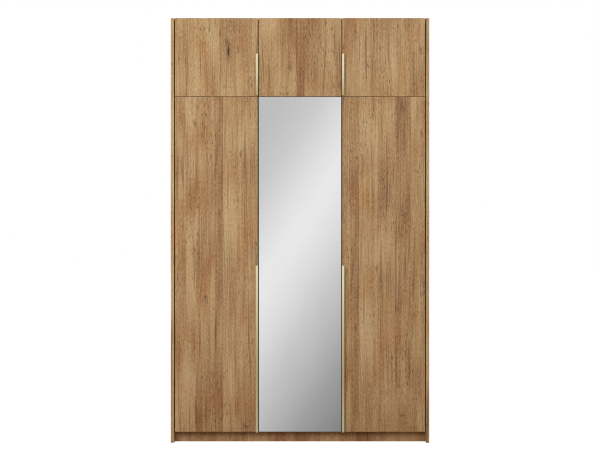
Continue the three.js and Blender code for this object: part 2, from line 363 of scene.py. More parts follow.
def plank_tones(tree, turn, v):
    """The tone of a plank, and a change of tone along it that each plank has of its own."""
    stops = ramp(tree, turn, plank_stops(), "CONSTANT")
    plank = add_node(tree, "ShaderNodeSeparateColor", {0: stops})
    own_place = add_node(tree, "ShaderNodeCombineXYZ", {
        0: calculate(tree, "MULTIPLY", plank.outputs[1], 40.0),
        1: calculate(tree, "MULTIPLY", v, 1.9)}).outputs[0]
    return plank.outputs[0], noise(tree, own_place, roughness=0.55)


def pore_mask(tree, grain, flow):
    """Short dark pores, gathered in drifts."""
    pores = grain_noise(tree, flow, (190.0, 26.0), (6.1, 3.3), detail=1.0)
    drift = grain_noise(tree, grain, (9.0, 2.6), (2.7, 1.9), detail=1.0)
    return calculate(tree, "MULTIPLY", spread(tree, pores, 0.62, 0.76),
                     spread(tree, drift, 0.42, 0.68, 0.10, 0.75))


def crack_mask(tree, grain, flow, print_u, v, places):
    """Fine cracks that branch, in scattered groups and at the given places."""
    veins = grain_noise(tree, grain, (62.0, 34.0), (3.9, 2.1), distortion=0.6)
    off_line = calculate(tree, "ABSOLUTE", calculate(tree, "SUBTRACT", veins, 0.5))
    line = spread(tree, off_line, 0.045, 0.012, smooth=True)
    group = calculate(tree, "MULTIPLY", spots(tree, flow, (3.6, 1.9), (0.72, 0.31), 0.14), 9.0)
    for place in places:
        group = calculate(tree, "MINIMUM", group, reach_from(
            tree, print_u, v, place, CRACK_HALF_WIDTH, CRACK_HALF_HEIGHT))
    return calculate(tree, "MULTIPLY", line,
                     spread(tree, group, 1.15, 0.6, 0.0, 0.72, smooth=True))


def oak_print(name, planked):
    """Oak-look printed board. The map named grain has the distance across the grain in u and along
    it in v, both in metres. Paper without planks has no placed cracks or knots either."""
    material, tree, shader = new_surface(name, 0.5)
    shader.inputs["Specular IOR Level"].default_value = 0.2
    grain = add_node(tree, "ShaderNodeUVMap", uv_map="grain").outputs[0]
    split = add_node(tree, "ShaderNodeSeparateXYZ", {0: grain})
    u, v = split.outputs[0], split.outputs[1]

    # Grain lines wander slowly from side to side
    wander = grain_noise(tree, grain, (4.0, 1.3))
    across = calculate(tree, "ADD", u, centred(tree, wander, 0.024))
    flow = add_node(tree, "ShaderNodeCombineXYZ", {0: across, 1: v}).outputs[0]

    turn = turn_of_print(tree, grain, u)
    print_u = calculate(tree, "MULTIPLY", turn, PRINT_WIDTH)
    plank_tone, own_change = plank_tones(tree, turn, v)

    # Reddish patches, clouds, streaks, fibres as wide as a pencil line, and short fibres
    red = grain_noise(tree, flow, (8.0, 3.0), (4.4, 8.8), detail=3.0, roughness=0.55)
    clouds = grain_noise(tree, flow, (17.0, 1.9), detail=3.0)
    streaks = grain_noise(tree, flow, (48.0, 2.6), (9.3, 2.2))
    fibres = grain_noise(tree, flow, (170.0, 2.4), (1.7, 5.9), detail=3.0, roughness=0.65)
    short_fibres = grain_noise(tree, flow, (170.0, 60.0), (7.1, 0.9), detail=3.0, roughness=0.6)

    tone = total(
        tree, 0.52 if planked else 0.63,
        centred(tree, plank_tone, 0.50 if planked else 0.0),
        centred(tree, own_change, 0.42 if planked else 0.1),
        centred(tree, red, -0.24),
        centred(tree, clouds, 0.28),
        centred(tree, streaks, 0.26),
        centred(tree, fibres, 0.45),
        centred(tree, short_fibres, 0.52),
    )
    colour = ramp(tree, tone, OAK_TONES)
    reddened = spread(tree, red, 0.44, 0.72, 0.0, 0.8, smooth=True)
    colour = mixed(tree, reddened, colour, RED_CAST, "MULTIPLY")

    # Mineral streaks: thin dark lines that follow the grain
    minerals = grain_noise(tree, flow, (75.0, 2.1), (4.9, 6.3), detail=1.0)
    mineral_mask = spread(tree, minerals, 0.64, 0.80, 0.0, 0.6, smooth=True)
    colour = mixed(tree, mineral_mask, colour, MINERAL_INK)

    pores = pore_mask(tree, grain, flow)
    colour = mixed(tree, pores, colour, PORE_INK)

    # Pin knots with a brown halo
    ragged = grain_noise(tree, grain, (150.0, 70.0))
    pin = calculate(tree, "ADD", spots(tree, flow, (8.0, 3.0), (0.3, 0.6), 0.30),
                    centred(tree, ragged, 0.10))
    colour = mixed(tree, spread(tree, pin, 0.09, 0.03, 0.0, 0.5, smooth=True), colour,
                   PIN_KNOT_INK)

    cracks = crack_mask(tree, grain, flow, print_u, v, CRACKS if planked else [])
    colour = mixed(tree, cracks, colour, CRACK_INK)

    # Knots with a dark eye
    for place, half_width, half_height in KNOTS if planked else []:
        reach = calculate(tree, "ADD", reach_from(tree, print_u, v, place, half_width, half_height),
                          centred(tree, ragged, 1.6))
        halo = spread(tree, reach, 3.2, 0.8, 0.0, 0.6, smooth=True)
        eye = spread(tree, reach, 1.2, 0.5, 0.0, 0.95, smooth=True)
        colour = mixed(tree, halo, colour, KNOT_HALO_INK)
        colour = mixed(tree, eye, colour, KNOT_EYE_INK)

    feed(tree, shader.inputs["Base Color"], colour)
    feed(tree, shader.inputs["Roughness"], spread(tree, fibres, 0.3, 0.7, 0.64, 0.50))
    height = calculate(tree, "SUBTRACT", fibres, calculate(tree, "MULTIPLY", pores, 0.6))
    relief(tree, shader, height, 0.12 * MM, 0.5)
    return material


# ---------------------------------------------------------------- other materials


def shade_of(colour, share):
    return tuple(share * part for part in colour)


def hardboard(name, tint):
    """Raw hardboard: fine fibre flecks with no direction."""
    material, tree, shader = new_surface(name, 0.75)
    place = object_place(tree)
    flecks = solid_noise(tree, place, 260, detail=3.0, roughness=0.7)
    clouds = solid_noise(tree, place, 6)
    tone = total(tree, 0.5, centred(tree, flecks, 0.8), centred(tree, clouds, 0.22))
    colour = ramp(tree, tone, [
        (0.25, shade_of(tint, 0.62)), (0.5, tint), (0.75, shade_of(tint, 1.35))])
    feed(tree, shader.inputs["Base Color"], colour)
    relief(tree, shader, flecks, 0.2 * MM, 0.5)
    return material


def metal(name, colour, roughness, brushed=(900, 900, 12), wear=0.12, lacquer=0.0):
    """Metal with fine brush lines and a slightly uneven finish, bare or under a clear lacquer."""
    material, tree, shader = new_surface(name, roughness, metallic=1.0)
    shader.inputs["Coat Weight"].default_value = lacquer
    shader.inputs["Coat Roughness"].default_value = 0.35
    place = object_place(tree)
    lines = solid_noise(tree, place, brushed, detail=1.0)
    patches = solid_noise(tree, place, (22, 22, 7))
    tone = total(tree, 0.5, centred(tree, lines, 0.8), centred(tree, patches, 0.6))
    worn = ramp(tree, tone, [(0.2, shade_of(colour, 1 - wear)), (0.8, colour)])
    feed(tree, shader.inputs["Base Color"], worn)
    feed(tree, shader.inputs["Roughness"],
         spread(tree, tone, 0.2, 0.8, roughness * 1.2, roughness * 0.85))
    relief(tree, shader, lines, 0.02 * MM, 0.3)
    return material


def silvering():
    """Silvered glass. Faint waviness and a trace of haze."""
    material, tree, shader = new_surface("mirror_silvering", 0.02, metallic=1.0)
    haze = solid_noise(tree, object_place(tree), (5, 5, 3), detail=3.0)
    colour = ramp(tree, haze, [(0.3, (0.925, 0.928, 0.926)), (0.7, (0.945, 0.946, 0.946))])
    feed(tree, shader.inputs["Base Color"], colour)
    feed(tree, shader.inputs["Roughness"], spread(tree, haze, 0.3, 0.7, 0.008, 0.03))
    return material


def glass_edge():
    """The ground edge of float glass: green-grey and slightly matt."""
    material, tree, shader = new_surface("glass_edge", 0.25)
    grind = solid_noise(tree, object_place(tree), 700)
    colour = ramp(tree, grind, [(0.3, (0.20, 0.27, 0.25)), (0.7, (0.33, 0.41, 0.39))])
    feed(tree, shader.inputs["Base Color"], colour)
    feed(tree, shader.inputs["Roughness"], spread(tree, grind, 0.3, 0.7, 0.18, 0.35))
    relief(tree, shader, grind, 0.03 * MM, 0.3)
    return material


def moulded_plastic(name, colour, roughness):
    """Plastic with a fine spark-eroded texture."""
    material, tree, shader = new_surface(name, roughness)
    place = object_place(tree)
    grit = solid_noise(tree, place, 1500, detail=1.0)
    bloom = solid_noise(tree, place, 40)
    clouded = ramp(tree, bloom, [(0.3, shade_of(colour, 0.88)), (0.7, shade_of(colour, 1.1))])
    feed(tree, shader.inputs["Base Color"], clouded)
    feed(tree, shader.inputs["Roughness"],
         spread(tree, bloom, 0.3, 0.7, roughness * 0.85, roughness * 1.15))
    relief(tree, shader, grit, 0.05 * MM, 0.4)
    return material


OAK = oak_print("oak_print", True)
OAK_EDGE = oak_print("oak_edge_band", False)
HARDBOARD_OUT = hardboard("hardboard_rough", (0.290, 0.172, 0.090))
HARDBOARD_IN = hardboard("hardboard_smooth", (0.440, 0.290, 0.160))
BRASS = metal("satin_brass", (0.90, 0.77, 0.46), 0.30, lacquer=1.0)
NICKEL = metal("nickel_plate", (0.66, 0.65, 0.62), 0.26)
CHROME = metal("bright_chrome", (0.80, 0.81, 0.82), 0.10, brushed=(300, 300, 300), wear=0.03)
ZINC = metal("zinc_plate", (0.58, 0.58, 0.56), 0.38)
SILVERING = silvering()
GLASS_EDGE = glass_edge()
GREY_PLASTIC = moulded_plastic("grey_plastic", (0.30, 0.305, 0.31), 0.5)
TAN_PLASTIC = moulded_plastic("tan_plastic", (0.40, 0.27, 0.15), 0.42)


# ---------------------------------------------------------------- shaping


def new_mesh(bm, name):
    mesh = bpy.data.meshes.new(name)
    bm.to_mesh(mesh)
    bm.free()
    return mesh


def finish_piece(bm, name, materials, body, replaced=(), smooth=None):
    """Turns a bmesh into a piece that rides on a body. smooth is the angle in degrees up to which
    neighbouring faces are shaded as one surface. A piece with no body is left loose."""
    bmesh.ops.recalc_face_normals(bm, faces=bm.faces)
    if smooth is not None:
        for face in bm.faces:
            face.smooth = True
    mesh = new_mesh(bm, name)
    if smooth is not None:
        mesh.set_sharp_from_angle(angle=math.radians(smooth))
    for material in materials:
        mesh.materials.append(material)
    piece = bpy.data.objects.new(name, mesh)
    bpy.context.scene.collection.objects.link(piece)
    if body:
        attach(piece, body)
    if replaced:
        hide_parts(*replaced)
    return piece


def block(low, high, arris=0.0, segments=2):
    """A block between two corners with its edges broken."""
    bm = bmesh.new()
    bmesh.ops.create_cube(bm, size=1)
    bmesh.ops.scale(bm, vec=Vector(high) - Vector(low), verts=bm.verts)
    bmesh.ops.translate(bm, vec=(Vector(high) + Vector(low)) / 2, verts=bm.verts)
    soften(bm, bm.edges[:], arris, segments)
    return bm


def soften(bm, edges, radius, segments=2):
    if radius:
        bmesh.ops.bevel(bm, geom=edges, offset=radius, segments=segments, profile=0.5,
                        affect="EDGES", material=-1)


def edges_along(bm, axis):
    """The edges that run parallel to an axis."""
    found = []
    for edge in bm.edges:
        run = edge.verts[1].co - edge.verts[0].co
        if abs(run[axis]) > 0.999 * run.length:
            found.append(edge)
    return found


def round_bar(low, high, axis, radius, segments=6, arris=0.0):
    """A block whose four edges along one axis are rounded off."""
    bm = block(low, high)
    soften(bm, edges_along(bm, axis), radius, segments)
    rims = [edge for edge in bm.edges
            if abs((edge.verts[1].co - edge.verts[0].co)[axis]) < 1e-6]
    soften(bm, rims, arris)
    return bm


def turned(outline, steps=32):
    """A closed turned shape about Z. The outline is radius and height, from axis to axis."""
    bm = bmesh.new()
    points = [bm.verts.new((radius, 0, height)) for radius, height in outline]
    edges = [bm.edges.new(pair) for pair in zip(points, points[1:])]
    bmesh.ops.spin(bm, geom=points + edges, cent=(0, 0, 0), axis=(0, 0, 1), angle=2 * math.pi,
                   steps=steps, use_merge=True)
    bmesh.ops.remove_doubles(bm, verts=bm.verts, dist=1e-6)
    return bm


def drawn(outline, low, high):
    """A bar with a constant outline in plan, between two heights."""
    bm = bmesh.new()
    face = bm.faces.new([bm.verts.new((x, y, low)) for x, y in outline])
    made = bmesh.ops.extrude_face_region(bm, geom=[face])
    risen = [item for item in made["geom"] if isinstance(item, bmesh.types.BMVert)]
    bmesh.ops.translate(bm, vec=(0, 0, high - low), verts=risen)
    return bm


def add_shape(bm, shape, matrix=None, material=0):
    """Adds a copy of a mesh, moved by a matrix and with one material, to a bmesh."""
    first_vert, first_face = len(bm.verts), len(bm.faces)
    bm.from_mesh(shape)
    bm.verts.ensure_lookup_table()
    bm.faces.ensure_lookup_table()
    if matrix is not None:
        bmesh.ops.transform(bm, matrix=matrix, verts=bm.verts[first_vert:])
    for face in bm.faces[first_face:]:
        face.material_index = material


def carve(bm, cutter):
    """The shape with another shape cut out of it."""
    body = bpy.data.objects.new("carve_body", new_mesh(bm, "carve_body"))
    tool = bpy.data.objects.new("carve_tool", new_mesh(cutter, "carve_tool"))
    for item in (body, tool):
        bpy.context.scene.collection.objects.link(item)
    cut = body.modifiers.new("cut", "BOOLEAN")
    cut.operation, cut.solver, cut.object = "DIFFERENCE", "EXACT", tool
    bpy.context.view_layer.update()
    evaluated = body.evaluated_get(bpy.context.evaluated_depsgraph_get())
    result = bmesh.new()
    result.from_mesh(bpy.data.meshes.new_from_object(evaluated))
    for item in (body, tool):
        bpy.data.objects.remove(item)
    return result


def facing_matrix(centre, axis):
    """Stands a shape made about Z on a point, with its top towards axis."""
    turn = Vector((0, 0, 1)).rotation_difference(Vector(axis)).to_matrix().to_4x4()
    return Matrix.Translation(centre) @ turn


def cylinder(bm, centre, axis, radius, length, segments):
    """Adds a plain cylinder, used for boring, centred on a point."""
    bmesh.ops.create_cone(bm, cap_ends=True, segments=segments, radius1=radius, radius2=radius,
                          depth=length, matrix=facing_matrix(centre, axis))


# ---------------------------------------------------------------- small hardware


def cross_screw(radius, height):
    """A pan head with a cross recess, standing on the plane Z = 0."""
    head = turned([
        (0, -0.3 * MM), (0.96 * radius, -0.3 * MM), (radius, 0), (radius, 0.35 * height),
        (0.82 * radius, 0.8 * height), (0.5 * radius, height), (0, height),
    ], 20)
    arm, slit = 0.58 * radius, 0.13 * radius
    for half_x, half_y in ((arm, slit), (slit, arm)):
        bar = block((-half_x, -half_y, 0.35 * height), (half_x, half_y, 2 * height))
        head = carve(head, bar)
    return new_mesh(head, "cross_screw")


SCREW = cross_screw(3.4 * MM, 1.7 * MM)
SMALL_SCREW = cross_screw(2.5 * MM, 1.1 * MM)
# A push-in cap over a cabinet fitting
CAP = new_mesh(turned([
    (0, 0), (8.4 * MM, 0), (8.8 * MM, 0.3 * MM), (8.4 * MM, 0.9 * MM), (6.0 * MM, 1.3 * MM),
    (0, 1.35 * MM),
], 28), "cover_cap")
NAIL = new_mesh(turned([
    (0, 0), (2.6 * MM, 0), (2.5 * MM, 0.35 * MM), (1.2 * MM, 0.7 * MM), (0, 0.75 * MM),
], 10), "nail_head")
# A turned steel shelf pin with a collar, 7 mm of it showing
SHELF_PIN = new_mesh(turned([
    (0, -2 * MM), (2.3 * MM, -2 * MM), (2.3 * MM, 0), (3.4 * MM, 0), (3.4 * MM, 0.8 * MM),
    (2.4 * MM, 1.1 * MM), (2.4 * MM, 6.6 * MM), (2.0 * MM, 7 * MM), (0, 7 * MM),
], 16), "shelf_pin")


def studded(name, shape, places, axis, material, body):
    """One piece made of many copies of a small shape, all facing one way."""
    bm = bmesh.new()
    for place in places:
        add_shape(bm, shape, facing_matrix(place, axis))
    finish_piece(bm, name, [material], body, smooth=40)


def row_of(start, end, pitch):
    """Places from start to end, about a pitch apart."""
    count = max(1, round(abs(end - start) / pitch))
    return [start + (end - start) * step / count for step in range(count + 1)]


# ---------------------------------------------------------------- boards


def lay_grain(bm, along, crop, start=Vector((0, 0, 0))):
    """Writes the map named grain: u across the grain and v along it, in metres. crop is where the
    board's start lies on the print. The far faces are cut from another part of the print."""
    layer = bm.loops.layers.uv.new("grain")
    for face in bm.faces:
        facing = max((X, Y, Z), key=lambda axis: abs(face.normal[axis]))
        sides = [axis for axis in (X, Y, Z) if axis not in (along, facing)]
        lengthwise = sides[1] if facing == along else along
        cut = crop[0] + END_CUT * (facing != Y) + REVERSE_CUT * (face.normal[facing] > 0)
        for loop in face.loops:
            place = loop.vert.co
            loop[layer].uv = (place[sides[0]] - start[sides[0]] + cut, place[lengthwise] + crop[1])


def crop_for(name):
    """Where a board is cut out of the print, the same on every run."""
    chooser = random.Random(name)
    return chooser.uniform(0, 9), chooser.uniform(0, 9)


def finish_board(bm, node, along, banded=True, least_band=0.0):
    """Prints a board and puts it in the place of its frame node. The front edge of a banded board
    has its own strip. least_band is an area that every face of the strip exceeds."""
    lay_grain(bm, along, crop_for(node))
    for face in bm.faces:
        if banded and face.normal[Y] < -0.5 and face.calc_area() > least_band:
            face.material_index = 1
    finish_piece(bm, node + "_board", [OAK, OAK_EDGE], frame["nodes"][node]["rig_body"],
                 [node])


def board(node, along, banded=True):
    low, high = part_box(node)
    finish_board(block(low, high, BOARD_ARRIS), node, along, banded)


def drilled_side(node, holes):
    """An upright board with blind holes for shelf pins. holes is a list of centres on its face."""
    low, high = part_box(node)
    bores = bmesh.new()
    for hole in holes:
        cylinder(bores, hole, (1, 0, 0), PIN_HOLE_RADIUS, 2 * PIN_HOLE_DEPTH, 12)
    # The walls of the holes are smaller than this and stay in the board's own print
    finish_board(carve(block(low, high, BOARD_ARRIS), bores), node, Z, least_band=1e-4)


def back_sheet(node):
    """A thin back with its smooth side in and its rough side to the wall."""
    low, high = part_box(node)
    bm = block(low, high, SHEET_ARRIS, 1)
    for face in bm.faces:
        face.material_index = 1 if face.normal[Y] < -0.9 else 0
    finish_piece(bm, node + "_sheet", [HARDBOARD_OUT, HARDBOARD_IN], "carcass",
                 [node])


def pin_places(face_x, rows):
    """Centres of the pins, or of the holes, on a side of the linen bay. Row 0 holds the shelves."""
    places = []
    for shelf in LINEN_SHELVES:
        low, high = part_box(shelf)
        for y in (low.y + PIN_ROWS_IN, high.y - PIN_ROWS_IN):
            for row in rows:
                places.append(Vector((face_x, y, low.z - PIN_HOLE_RADIUS + row * PIN_PITCH)))
    return places


def carcass_boards():
    bay_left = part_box("main_partition")[1].x
    bay_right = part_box("main_side_right")[0].x
    drilled_side("main_partition", pin_places(bay_left, PIN_ROWS))
    drilled_side("main_side_right", pin_places(bay_right, PIN_ROWS))
    for node in ("main_side_left", "top_box_side_left", "top_box_side_right", "top_box_partition"):
        board(node, Z)
    for node in ("plinth_front", "plinth_rear"):
        board(node, Z, banded=False)
    for node in ("main_bottom", "main_top", "top_box_bottom", "top_box_lid", "hat_shelf",
                 *LINEN_SHELVES):
        board(node, X)
    for node in ("main_back_left", "main_back_right", "top_box_back"):
        back_sheet(node)
    for side, face_x, inward in (("left", bay_left, 1), ("right", bay_right, -1)):
        studded("linen_bay_pins_" + side, SHELF_PIN, pin_places(face_x, (0,)), (inward, 0, 0),
                NICKEL, "carcass")


def cabinet_caps():
    """Caps over the fittings under the boards that close the bays, near each upright."""
    from_upright, from_front = 34 * MM, 50 * MM
    left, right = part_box("main_side_left")[1].x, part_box("main_side_right")[0].x
    near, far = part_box("main_partition")[0].x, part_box("main_partition")[1].x
    both_bays = [left + from_upright, near - from_upright, far + from_upright, right - from_upright]
    places = []
    for node in ("main_top", "top_box_lid", "hat_shelf"):
        low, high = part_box(node)
        columns = both_bays[:2] if node == "hat_shelf" else both_bays
        places += [Vector((x, y, low.z)) for x in columns
                   for y in (low.y + from_front, high.y - from_front)]
    studded("cabinet_fitting_caps", CAP, places, (0, 0, -1), TAN_PLASTIC, "carcass")


def back_nails():
    """Nails round the edge of each back sheet and into the partitions and the hat shelf. Where two
    sheets share the partition, the nails keep closer to the edge."""
    inset, shared_inset, pitch = 9 * MM, 3.6 * MM, 105 * MM
    places = []
    for node in ("main_back_left", "main_back_right", "top_box_back"):
        low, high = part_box(node)
        left = low.x + (shared_inset if node == "main_back_right" else inset)
        right = high.x - (shared_inset if node == "main_back_left" else inset)
        for x in (left, right):
            places += [Vector((x, high.y, z))
                       for z in row_of(low.z + inset, high.z - inset, pitch)]
        for z in (low.z + inset, high.z - inset):
            places += [Vector((x, high.y, z))
                       for x in row_of(low.x + inset, high.x - inset, pitch)[1:-1]]
    low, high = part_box("top_box_partition")
    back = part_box("top_box_back")[1].y
    places += [Vector(((low.x + high.x) / 2, back, z))
               for z in row_of(low.z + inset, high.z - inset, pitch)]
    low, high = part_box("hat_shelf")
    back, from_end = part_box("main_back_left")[1].y, 60 * MM
    places += [Vector((x, back, (low.z + high.z) / 2))
               for x in row_of(low.x + from_end, high.x - from_end, pitch)]
    studded("back_nails", NAIL, places, (0, 1, 0), ZINC, "carcass")


# ---------------------------------------------------------------- doors


def hinge_arms(bay):
    """The frame nodes of a door's hinge arms: four on a tall door and two on a short one."""
    count = 2 if bay.startswith("top_") else 4
    return [f"{bay}_hinge_arm_{number + 1}" for number in range(count)]


def hinge_place(bay, arm):
    """Where a hinge sits: the point on its mounting face level with the door's back, the direction
    along X into the bay, and how far in the middle of the cup is."""
    low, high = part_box(arm)
    leaf_low, leaf_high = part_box(bay + "_door")
    left_hung = bay.endswith("left")
    inward = 1 if left_hung else -1
    face_x = low.x if left_hung else high.x
    cup_x = leaf_low.x + CUP_INSET if left_hung else leaf_high.x - CUP_INSET
    return Vector((face_x, leaf_high.y, (low.z + high.z) / 2)), inward, abs(cup_x - face_x)


def door_leaf(bay):
    """A door leaf with banded edges and blind bores for its hinge cups."""
    node = bay + "_door"
    low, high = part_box(node)
    bores = bmesh.new()
    for arm in hinge_arms(bay):
        origin, inward, reach = hinge_place(bay, arm)
        cup = origin + Vector((inward * reach, 0, 0))
        cylinder(bores, cup, (0, 1, 0), CUP_RADIUS, 2 * CUP_DEPTH, 36)
    bm = carve(block(low, high, DOOR_ARRIS, 3), bores)
    lay_grain(bm, Z, DOOR_CROPS[bay], low)
    rim = 0.4 * MM
    for face in bm.faces:
        middle = face.calc_center_median()
        from_edge = min(middle.x - low.x, high.x - middle.x, middle.z - low.z, high.z - middle.z)
        if abs(face.normal[Y]) < 0.9 and from_edge < rim:
            face.material_index = 1
    finish_piece(bm, node + "_leaf", [OAK, OAK_EDGE], node, [node])


def mirror():
    """A silvered pane with a bevel all round, glued over the whole middle door."""
    low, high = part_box("mirror_glass")
    bm = block(low + Vector((0, MIRROR_BEVEL_FALL, 0)), high)
    front = [face for face in bm.faces if face.normal[Y] < -0.9]
    bmesh.ops.inset_region(bm, faces=front, thickness=MIRROR_BEVEL_WIDTH, depth=MIRROR_BEVEL_FALL,
                           use_even_offset=True)
    foot = [edge for edge in bm.edges if all(
        abs(vert.co.y - low.y - MIRROR_BEVEL_FALL) < 1e-7 for vert in edge.verts)]
    soften(bm, foot, MIRROR_ARRIS, 1)
    for face in bm.faces:
        face.material_index = 0 if face.normal[Y] < -0.95 else 1
    finish_piece(bm, "mirror_pane", [SILVERING, GLASS_EDGE], "middle_door",
                 ["mirror_glass"])


def handle(bay):
    """A bent metal strip: a flange behind the door, a web over its free edge and a lip that stands
    off in front, turned back at its end."""
    node = bay + "_handle"
    low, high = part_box(node)
    door_low, door_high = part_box(bay + "_door")
    left_hung = bay.endswith("left")
    edge = door_high.x if left_hung else door_low.x
    outward = 1 if left_hung else -1
    web, lip, turn_back = 2 * MM, 12 * MM, 8 * MM
    flange, flange_thickness = 22 * MM, 1.5 * MM
    front, rear = low.y, door_high.y
    outline = [
        (0, rear), (0, front + web), (2 * web - lip, front + web),
        (2 * web - lip, front + turn_back), (web - lip, front + turn_back), (web - lip, front),
        (web, front), (web, rear + flange_thickness), (web - flange, rear + flange_thickness),
        (web - flange, rear),
    ]
    bm = drawn([(edge + outward * x, y) for x, y in outline], low.z, high.z)
    soften(bm, bm.edges[:], 0.45 * MM)
    finish_piece(bm, bay + "_handle_strip", [BRASS], bay + "_door", [node],
                 smooth=30)
    from_end, pitch = 40 * MM, 205 * MM
    screw_x = edge + outward * (web - 0.55 * flange)
    places = [Vector((screw_x, rear + flange_thickness, z))
              for z in row_of(low.z + from_end, high.z - from_end, pitch)]
    studded(bay + "_handle_screws", SMALL_SCREW, places, (0, 1, 0), ZINC, bay + "_door")


# ---------------------------------------------------------------- hinges


def in_hinge(origin, inward):
    """The matrix from hinge measures (in from the mounting face, back, up) to the room."""
    return Matrix.Translation(origin) @ Matrix.Diagonal((inward, 1, 1, 1))


def hinge_part(arm, part):
    """The name of a part of the hinge that this arm belongs to."""
    return arm.replace("_arm_", "_") + "_" + part


def hinge_arm(bay, arm):
    """The arm with its winged plate, two plate screws and two adjusting screws."""
    origin, inward, reach = hinge_place(bay, arm)
    # The arm's outline, in millimetres, runs from the plate over its back to the hooked end
    back, hook, half_height = 14, reach / MM, 7.2 * MM
    outline = [
        (2, 24), (2, 70), (back - 4, 72), (back, 66), (back, 31), (hook + 1, 12), (hook + 5, 6),
        (hook + 5, 1.2), (hook - 9, 1.2), (hook - 9, 5.5),
    ]
    bm = drawn([(x * MM, y * MM) for x, y in outline], -half_height, half_height)
    soften(bm, bm.edges[:], 0.9 * MM)
    plate_face = 2.4 * MM
    plate = round_bar((0, 30 * MM, -26 * MM), (plate_face, 46 * MM, 26 * MM), X, 7 * MM, 5,
                      0.4 * MM)
    add_shape(bm, new_mesh(plate, "plate"), None, 1)
    saddle = round_bar((0, 23 * MM, -6 * MM), (9 * MM, 73 * MM, 6 * MM), X, 2 * MM, 2, 0.5 * MM)
    add_shape(bm, new_mesh(saddle, "saddle"), None, 1)
    for screw, place in (
        (SCREW, (plate_face, 38 * MM, -18 * MM)),
        (SCREW, (plate_face, 38 * MM, 18 * MM)),
        (SCREW, (back * MM, 60 * MM, 0)),
        (SMALL_SCREW, (back * MM, 42 * MM, 0)),
    ):
        add_shape(bm, screw, facing_matrix(place, (1, 0, 0)), 1)
    bmesh.ops.transform(bm, matrix=in_hinge(origin, inward), verts=bm.verts)
    finish_piece(bm, hinge_part(arm, "arm"), [NICKEL, ZINC], "carcass", [arm],
                 smooth=35)


def hinge_cup(bay, arm):
    """The cup pressed into the door, with its rim, two screwed ears and the pin for the links."""
    origin, inward, reach = hinge_place(bay, arm)
    rim_rise, wall, depth = 0.9 * MM, 1.2 * MM, 11.6 * MM
    outer = CUP_RADIUS - 0.2 * MM
    bowl = turned([
        (0, -depth), (outer - 2 * MM, -depth), (outer, -depth + 2 * MM), (outer, 0),
        (19.6 * MM, 0), (19.8 * MM, rim_rise / 2), (19.4 * MM, rim_rise),
        (outer - wall, rim_rise), (outer - 1.6 * wall, -depth + 2.6 * MM),
        (outer - 3.4 * MM, -depth + wall), (0, -depth + wall),
    ], 36)
    bm = bmesh.new()
    upright = Matrix.Translation((reach, 0, 0)) @ Matrix.Rotation(-math.pi / 2, 4, "X")
    add_shape(bm, new_mesh(bowl, "bowl"), upright)
    ear_half_width = 7 * MM
    for side in (-1, 1):
        ends = sorted((side * 17.5 * MM, side * 31 * MM))
        ear = round_bar((reach - ear_half_width, 0, ends[0]),
                        (reach + ear_half_width, rim_rise, ends[1]), Y, 5 * MM, 5, 0.2 * MM)
        add_shape(bm, new_mesh(ear, "ear"))
        add_shape(bm, SMALL_SCREW, facing_matrix((reach, rim_rise, side * 25 * MM), (0, 1, 0)), 1)
    pin = turned([
        (0, -11 * MM), (1.7 * MM, -11 * MM), (1.9 * MM, -10.6 * MM), (1.9 * MM, 10.6 * MM),
        (1.7 * MM, 11 * MM), (0, 11 * MM),
    ], 14)
    add_shape(bm, new_mesh(pin, "pin"),
              Matrix.Translation((reach + LINK_PIN_PAST, -LINK_PIN_DEPTH, 0)), 1)
    bmesh.ops.transform(bm, matrix=in_hinge(origin, inward), verts=bm.verts)
    finish_piece(bm, hinge_part(arm, "cup"), [NICKEL, ZINC], bay + "_door",
                 smooth=35)


def hinge_link(bay, arm):
    """The links between arm and cup, as one plate that is left loose on no body."""
    origin, inward, reach = hinge_place(bay, arm)
    into_room = in_hinge(origin, inward)
    start = Vector((reach - 1.5 * MM, 3 * MM, 0))
    end = Vector((reach + LINK_PIN_PAST, -LINK_PIN_DEPTH, 0))
    run = end - start
    half_width, half_thickness = 5.2 * MM, 0.9 * MM
    bm = block((0, -half_thickness, -half_width), (run.length, half_thickness, half_width))
    bmesh.ops.subdivide_edges(bm, edges=edges_along(bm, X), cuts=11, use_grid_fill=True)
    turn = Matrix.Rotation(math.atan2(run.y, run.x), 4, "Z")
    bmesh.ops.transform(bm, matrix=into_room @ Matrix.Translation(start) @ turn, verts=bm.verts)
    piece = finish_piece(bm, hinge_part(arm, "link"), [NICKEL], None, smooth=60)
    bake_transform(piece)


# ---------------------------------------------------------------- rail and latches


def rail():
    low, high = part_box("hanging_rail")
    radius = (high.y - low.y) / 2
    bm = round_bar(low, high, X, 0.998 * radius, 10, 0.3 * MM)
    finish_piece(bm, "hanging_rail_tube", [CHROME], "carcass", ["hanging_rail"],
                 smooth=40)


